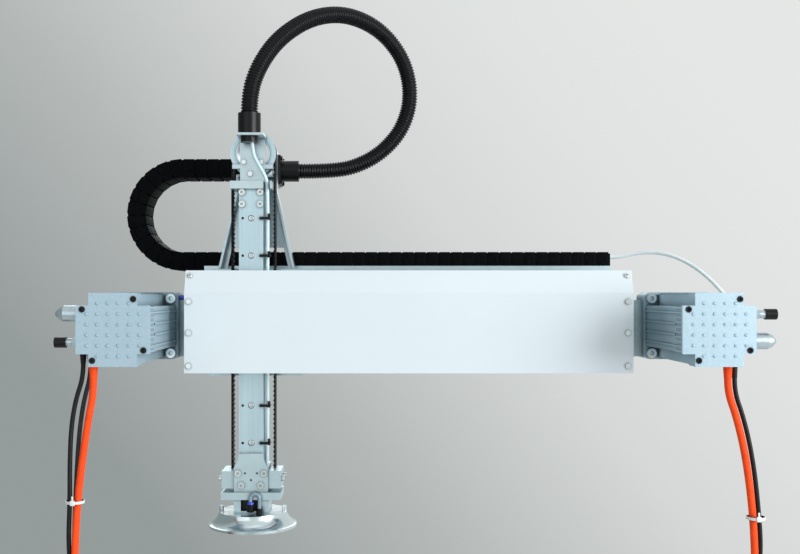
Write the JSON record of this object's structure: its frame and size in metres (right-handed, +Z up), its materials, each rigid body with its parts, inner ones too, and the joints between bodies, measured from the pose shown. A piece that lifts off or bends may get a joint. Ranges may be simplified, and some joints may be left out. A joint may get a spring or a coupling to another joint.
{
  "type": "pneumatic gripper on a two-axis belt gantry",
  "caption": "Round bell-shaped air gripper on an upright slide, carried along a covered belt-driven beam with a motor at each end, an energy chain and a looped conduit.",
  "frame": {"origin": "centre of the four mounting holes on the beam's rear face", "axes": "+X along the beam to the right seen from the front, +Y out of the rear mounting face towards the wall, +Z up"},
  "size_m": [0.7055, 0.275, 0.6997],
  "materials": {
    "anodised_aluminium": "satin anodised",
    "cast_aluminium": "matte painted casting",
    "cover_sheet": "pale semi-gloss paint",
    "bracket_sheet": "satin anodised sheet",
    "rail_steel": "ground",
    "bright_steel": "bright zinc",
    "black_steel": "black oxide",
    "nickel_plating": "nickel plated",
    "chain_plastic": "fine grain",
    "conduit_plastic": "ribbed, slight sheen",
    "belt_rubber": "toothed, matte",
    "fitting_plastic": "moulded",
    "orange_jacket": "soft jacket",
    "black_jacket": "soft jacket",
    "grey_jacket": "soft jacket",
    "white_jacket": "soft jacket",
    "pale_tube": "translucent tube",
    "blue_tube": "smooth tube",
    "polished_metal": "mirror polished",
    "tie_plastic": "moulded"
  },
  "bodies": {
    "frame": {"y_beam": "anodised_aluminium", "y_rails": "rail_steel", "drive_head_left": "cast_aluminium", "drive_head_right": "cast_aluminium", "cover_front": "cover_sheet", "cover_end_plates": "bracket_sheet", "frame_screws": "bright_steel", "motor_flanges": "cast_aluminium", "motor_body_left": "cast_aluminium", "motor_body_right": "cast_aluminium", "motor_rear_covers": "cast_aluminium", "rear_cover_screws": "black_steel", "port_fittings": "nickel_plating", "service_caps": "fitting_plastic", "cable_glands": "nickel_plating", "chain_tray": "bracket_sheet", "chain_lower_fixed": "chain_plastic", "chain_lower_moving": "chain_plastic", "blue_tube": "blue_tube", "belt_drive_wraps": "belt_rubber", "white_cable": "white_jacket", "orange_cable_left": "orange_jacket", "orange_cable_right": "orange_jacket", "black_cable_left": "black_jacket", "black_cable_right": "black_jacket", "grey_cable_left": "grey_jacket", "cable_coil_left": "orange_jacket", "cable_coil_right": "orange_jacket", "cable_plugs": "nickel_plating"},
    "drive_left": {"drive_pulley_left": "anodised_aluminium"},
    "drive_right": {"drive_pulley_right": "anodised_aluminium"},
    "chain_loop": {"chain_bend": "chain_plastic"},
    "carriage": {"carriage_plate": "anodised_aluminium", "guide_blocks": "rail_steel", "idler_axles": "bright_steel", "belt_idler_wraps": "belt_rubber", "chain_bracket": "bracket_sheet", "conduit_fitting_lower": "fitting_plastic", "chain_upper_run": "chain_plastic", "belt_level_runs": "belt_rubber", "conduit": "conduit_plastic"},
    "upper_left_idler": {"idler_upper_left": "anodised_aluminium"},
    "upper_right_idler": {"idler_upper_right": "anodised_aluminium"},
    "lower_left_idler": {"idler_lower_left": "anodised_aluminium"},
    "lower_right_idler": {"idler_lower_right": "anodised_aluminium"},
    "upright": {"z_beam": "anodised_aluminium", "z_rail": "rail_steel", "top_bracket": "bracket_sheet", "z_screws": "bright_steel", "conduit_fitting_upper": "fitting_plastic", "belt_top_wrap": "belt_rubber", "belt_upright_runs": "belt_rubber", "foot_block": "anodised_aluminium", "belt_clamps": "anodised_aluminium", "gripper_mount": "anodised_aluminium", "gripper_valve": "fitting_plastic", "gripper_dish": "polished_metal", "air_tube": "pale_tube", "tube_ties": "fitting_plastic"},
    "belt_ring": {"top_pulley": "anodised_aluminium"}
  },
  "joints": [
    {"name": "x_slide", "type": "slide", "parent": "frame", "child": "carriage", "axis": [1, 0, 0], "range_m": [0, 0.335], "deforming": ["belt_level_runs", "chain_lower_moving"]},
    {"name": "z_slide", "type": "slide", "parent": "carriage", "child": "upright", "axis": [0, 0, 1], "range_m": [-0.08, 0.09], "deforming": ["belt_upright_runs", "conduit"]},
    {"name": "chain_slide", "type": "slide", "parent": "carriage", "child": "chain_loop", "axis": [1, 0, 0], "range_m": [-0.17, 0], "deforming": ["chain_upper_run"]},
    {"name": "drive_left_spin", "type": "hinge", "parent": "frame", "child": "drive_left", "pos_m": [-0.2868, -0.0985, 0], "axis": [0, 1, 0], "continuous": true},
    {"name": "drive_right_spin", "type": "hinge", "parent": "frame", "child": "drive_right", "pos_m": [0.2868, -0.0985, 0], "axis": [0, 1, 0], "continuous": true},
    {"name": "upper_left_spin", "type": "hinge", "parent": "carriage", "child": "upper_left_idler", "pos_m": [-0.207, -0.0985, 0.0334], "axis": [0, 1, 0], "continuous": true},
    {"name": "upper_right_spin", "type": "hinge", "parent": "carriage", "child": "upper_right_idler", "pos_m": [-0.135, -0.0985, 0.0334], "axis": [0, 1, 0], "continuous": true},
    {"name": "lower_left_spin", "type": "hinge", "parent": "carriage", "child": "lower_left_idler", "pos_m": [-0.207, -0.0985, -0.0334], "axis": [0, 1, 0], "continuous": true},
    {"name": "lower_right_spin", "type": "hinge", "parent": "carriage", "child": "lower_right_idler", "pos_m": [-0.135, -0.0985, -0.0334], "axis": [0, 1, 0], "continuous": true},
    {"name": "belt_ring_spin", "type": "hinge", "parent": "upright", "child": "belt_ring", "pos_m": [-0.171, -0.0985, 0.1864], "axis": [0, 1, 0], "continuous": true}
  ],
  "couplings": [
    {"joint": "chain_slide", "follows": "x_slide", "ratio": -0.5},
    {"joint": "drive_left_spin", "follows": "x_slide", "rad_per_m": -52.632},
    {"joint": "drive_right_spin", "follows": "x_slide", "rad_per_m": -52.632},
    {"joint": "upper_left_spin", "follows": "x_slide", "rad_per_m": 166.67},
    {"joint": "upper_right_spin", "follows": "x_slide", "rad_per_m": 166.67},
    {"joint": "lower_left_spin", "follows": "z_slide", "rad_per_m": -83.333},
    {"joint": "lower_right_spin", "follows": "z_slide", "rad_per_m": 83.333},
    {"joint": "belt_ring_spin", "follows": "x_slide", "rad_per_m": -92.593}
  ]
}
